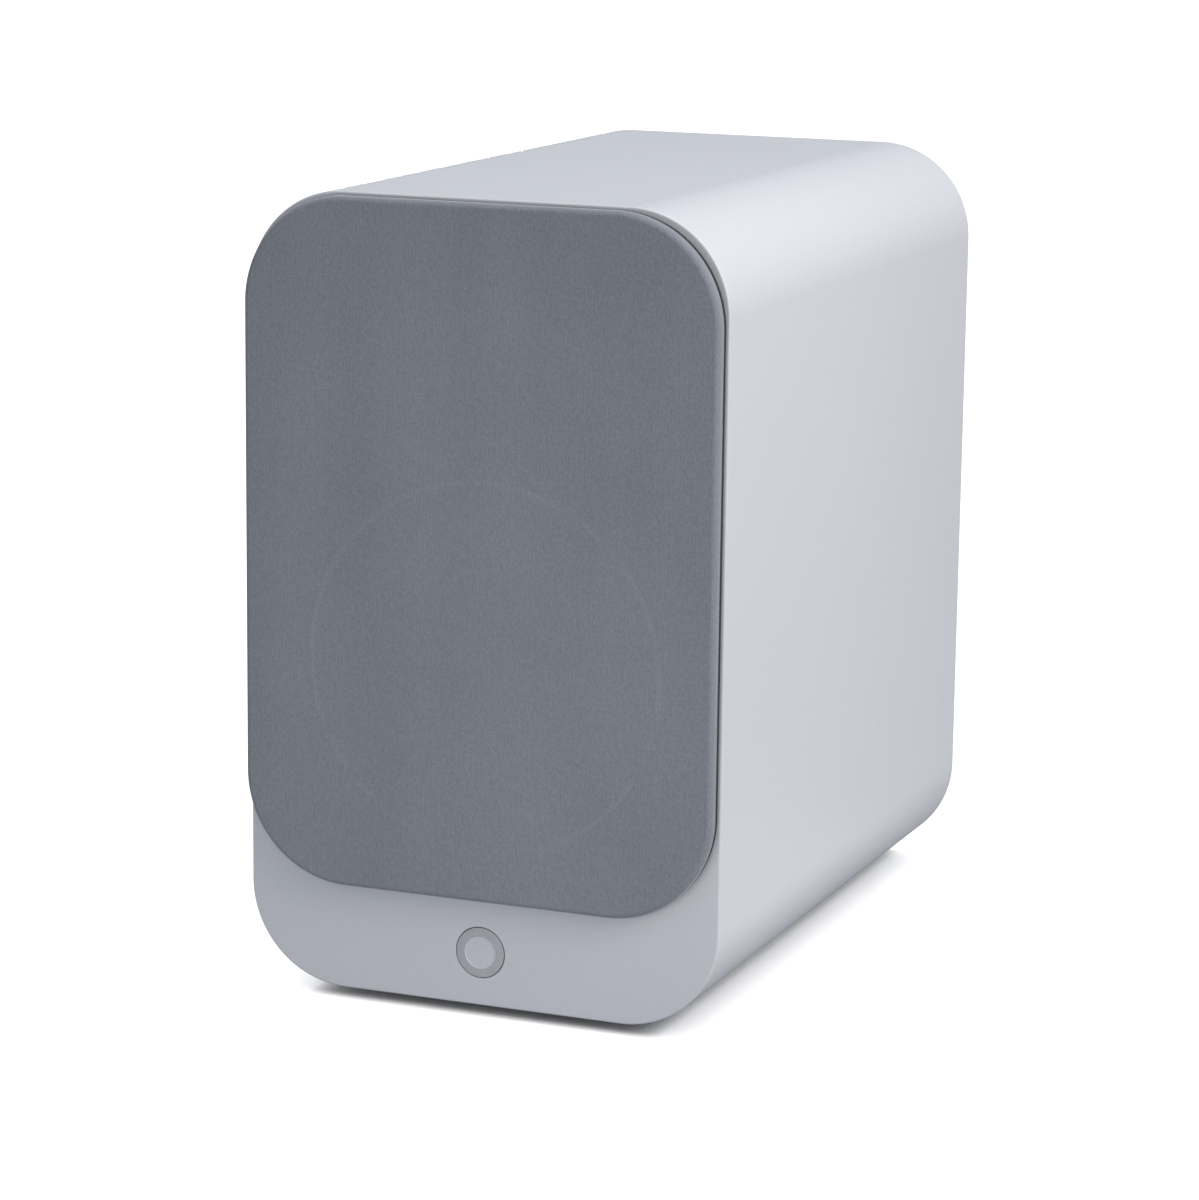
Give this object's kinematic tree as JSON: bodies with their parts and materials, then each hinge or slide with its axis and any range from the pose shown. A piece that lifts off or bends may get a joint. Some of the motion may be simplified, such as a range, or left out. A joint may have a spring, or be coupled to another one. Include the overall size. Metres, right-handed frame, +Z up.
{
  "type": "bookshelf speaker",
  "caption": "Two-way bookshelf loudspeaker: satin white cabinet with large round corners, grey cloth magnetic grille, woofer, dome tweeter, rear port and screw terminals.",
  "frame": {"origin": "the middle of the whole object's footprint, on the surface that the feet stand on", "axes": "+Z up, -Y out of the front with the grille, +X to the right as seen from the front"},
  "size_m": [0.17, 0.265, 0.274],
  "materials": {
    "satin_white_lacquer": "satin white lacquer on MDF",
    "raw_mdf": "raw fibreboard, unfinished",
    "grey_grille_cloth": "fine knitted polyester, mid grey",
    "black_abs": "moulded ABS, fine matt texture",
    "polished_nickel": "polished nickel plating",
    "zinc_plated_steel": "bright zinc plating",
    "satin_aluminium": "satin anodised aluminium",
    "aluminium_foil": "thin aluminium, as rolled",
    "ferrite": "sintered ferrite, dark grey",
    "mild_steel": "bare mild steel",
    "black_rubber": "matt black rubber",
    "pressed_paper": "pressed paper pulp, coated dark grey",
    "resin_cloth": "resin-treated cotton cloth, yellow",
    "dome_silk": "coated woven silk, black",
    "gold_plated_brass": "gold-plated brass",
    "red_plastic": "translucent red polycarbonate",
    "black_plastic_gloss": "smoked black polycarbonate",
    "green_circuit_board": "glass-epoxy board, green solder mask",
    "copper_winding": "enamelled copper winding",
    "capacitor_film": "blue film wrap",
    "cement_block": "white cement body",
    "polyester_wadding": "white polyester fibre",
    "cable_jacket": "grey PVC jacket"
  },
  "bodies": {
    "cabinet": {"cabinet_shell": "satin_white_lacquer", "baffle_core": "raw_mdf", "window_brace": "raw_mdf", "rear_panel": "satin_white_lacquer", "front_badge": "satin_aluminium", "damping_wadding": "polyester_wadding", "woofer_trim_ring": "polished_nickel", "woofer_chassis": "black_abs", "woofer_surround": "black_rubber", "woofer_spider": "resin_cloth", "woofer_top_plate": "zinc_plated_steel", "woofer_magnet": "ferrite", "woofer_yoke": "zinc_plated_steel", "tweeter_faceplate": "black_abs", "tweeter_isolation_ring": "black_rubber", "tweeter_surround": "dome_silk", "tweeter_top_plate": "zinc_plated_steel", "tweeter_magnet": "ferrite", "tweeter_yoke": "zinc_plated_steel", "tweeter_rear_cup": "black_abs", "reflex_port": "black_abs", "terminal_plate": "black_abs", "post_stem_negative": "gold_plated_brass", "post_stem_positive": "gold_plated_brass", "crossover_board": "green_circuit_board", "bass_inductor": "copper_winding", "treble_inductor": "copper_winding", "bass_capacitor": "capacitor_film", "treble_capacitor": "capacitor_film", "damping_resistor": "cement_block", "input_cable": "cable_jacket", "woofer_cable": "cable_jacket", "tweeter_cable": "cable_jacket", "foot_front_left": "black_rubber", "foot_front_right": "black_rubber", "foot_rear_left": "black_rubber", "foot_rear_right": "black_rubber", "hold_magnet_lower_left": "polished_nickel", "terminal_screw_lower_left": "zinc_plated_steel", "hold_magnet_upper_left": "polished_nickel", "terminal_screw_upper_left": "zinc_plated_steel", "hold_magnet_lower_right": "polished_nickel", "terminal_screw_lower_right": "zinc_plated_steel", "hold_magnet_upper_right": "polished_nickel", "terminal_screw_upper_right": "zinc_plated_steel"},
    "grille": {"grille_frame": "black_abs", "grille_cloth": "grey_grille_cloth", "grille_catch_lower_left": "mild_steel", "grille_catch_upper_left": "mild_steel", "grille_catch_lower_right": "mild_steel", "grille_catch_upper_right": "mild_steel"},
    "woofer_cone_assembly": {"woofer_cone": "pressed_paper", "woofer_dust_cap": "pressed_paper", "woofer_voice_coil": "aluminium_foil"},
    "tweeter_dome_assembly": {"tweeter_dome": "dome_silk", "tweeter_voice_coil": "copper_winding"},
    "washer_negative": {"post_washer_negative": "black_plastic_gloss"},
    "knob_negative": {"post_knob_negative": "black_plastic_gloss"},
    "washer_positive": {"post_washer_positive": "red_plastic"},
    "knob_positive": {"post_knob_positive": "red_plastic"}
  },
  "joints": [
    {"name": "grille_pull", "type": "slide", "parent": "cabinet", "child": "grille", "axis": [0, -1, 0], "range_m": [0, 0.04]},
    {"name": "woofer_stroke", "type": "slide", "parent": "cabinet", "child": "woofer_cone_assembly", "axis": [0, -1, 0], "range_m": [-0.004, 0.004], "stiffness_N_per_m": 1200, "deforming": ["woofer_surround", "woofer_spider"]},
    {"name": "tweeter_stroke", "type": "slide", "parent": "cabinet", "child": "tweeter_dome_assembly", "axis": [0, -1, 0], "range_m": [-0.0003, 0.0003], "stiffness_N_per_m": 4000, "deforming": ["tweeter_surround"]},
    {"name": "washer_negative_slide", "type": "slide", "parent": "cabinet", "child": "washer_negative", "axis": [0, 1, 0], "range_m": [0, 0.005]},
    {"name": "knob_negative_turn", "type": "hinge", "parent": "washer_negative", "child": "knob_negative", "pos_m": [-0.017, 0.113, 0.061], "axis": [0, 1, 0], "range_deg": [0, 1430]},
    {"name": "washer_positive_slide", "type": "slide", "parent": "cabinet", "child": "washer_positive", "axis": [0, 1, 0], "range_m": [0, 0.005]},
    {"name": "knob_positive_turn", "type": "hinge", "parent": "washer_positive", "child": "knob_positive", "pos_m": [0.017, 0.113, 0.061], "axis": [0, 1, 0], "range_deg": [0, 1430]}
  ],
  "couplings": [
    {"joint": "washer_negative_slide", "follows": "knob_negative_turn", "m_per_rad": 0.00019894},
    {"joint": "washer_positive_slide", "follows": "knob_positive_turn", "m_per_rad": 0.00019894}
  ]
}
